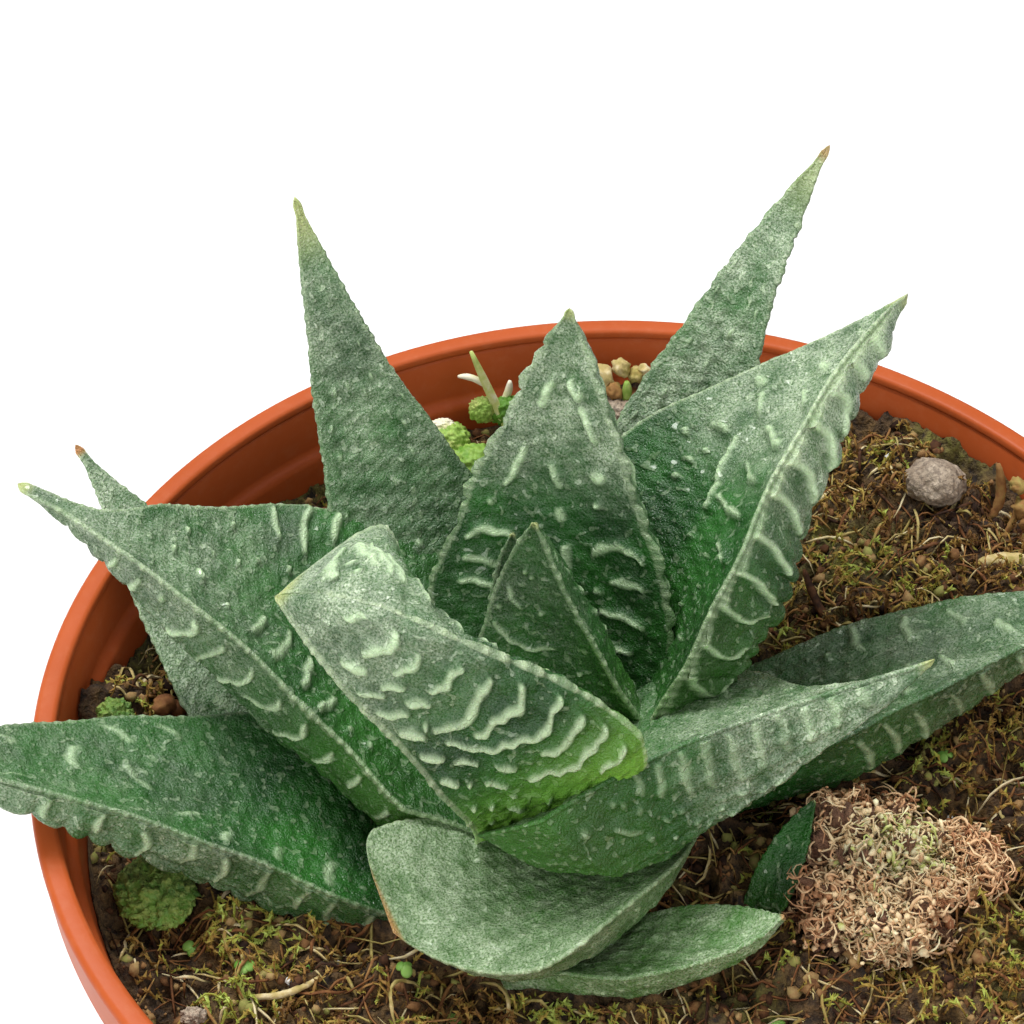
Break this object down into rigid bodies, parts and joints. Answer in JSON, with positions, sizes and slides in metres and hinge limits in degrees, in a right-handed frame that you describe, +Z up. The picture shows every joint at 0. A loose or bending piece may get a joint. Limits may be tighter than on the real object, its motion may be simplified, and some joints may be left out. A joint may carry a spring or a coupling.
{
  "type": "potted haworthia",
  "caption": "Rosette succulent with thick keeled, toothed and cross-ridged leaves in a round plastic nursery pot filled with potting mix.",
  "frame": {"origin": "centre of the pot's underside, on the surface the pot stands on", "axes": "+Z up out of the pot, -Y towards the viewer of the picture, +X to the viewer's right"},
  "size_m": [0.1144, 0.105, 0.124],
  "materials": {
    "leaf": "waxy dark green leaf skin with pale raised ridges and teeth",
    "stem": "pale yellow-green stem skin",
    "pot": "satin moulded terracotta-coloured plastic",
    "potting_mix": "loose dark fibrous potting mix with moss on it",
    "pebble": "dull dusty grit",
    "dry_moss": "crumbled dry red-brown moss",
    "weed": "soft matt green seedling leaf"
  },
  "bodies": {
    "root": {"leaf_heart": "leaf", "leaf_bud": "leaf", "leaf_curled": "leaf", "leaf_middle": "leaf", "leaf_right": "leaf", "leaf_left": "leaf", "leaf_back_left": "leaf", "leaf_back_right": "leaf", "leaf_front_right": "leaf", "leaf_front_blunt": "leaf", "leaf_far_right": "leaf", "leaf_front_left": "leaf", "leaf_far_left": "leaf", "leaf_front_low": "leaf", "leaf_offset": "leaf", "stem": "stem", "pot": "pot", "potting_mix": "potting_mix", "pebble_grey": "pebble", "pebble_tan": "pebble", "pebble_small": "pebble", "pebble_white": "pebble", "moss_clump": "dry_moss", "moss_tail": "dry_moss", "weed_leaf": "weed", "weed_leaf_small": "weed", "weed_sprout": "weed"}
  },
  "joints": []
}
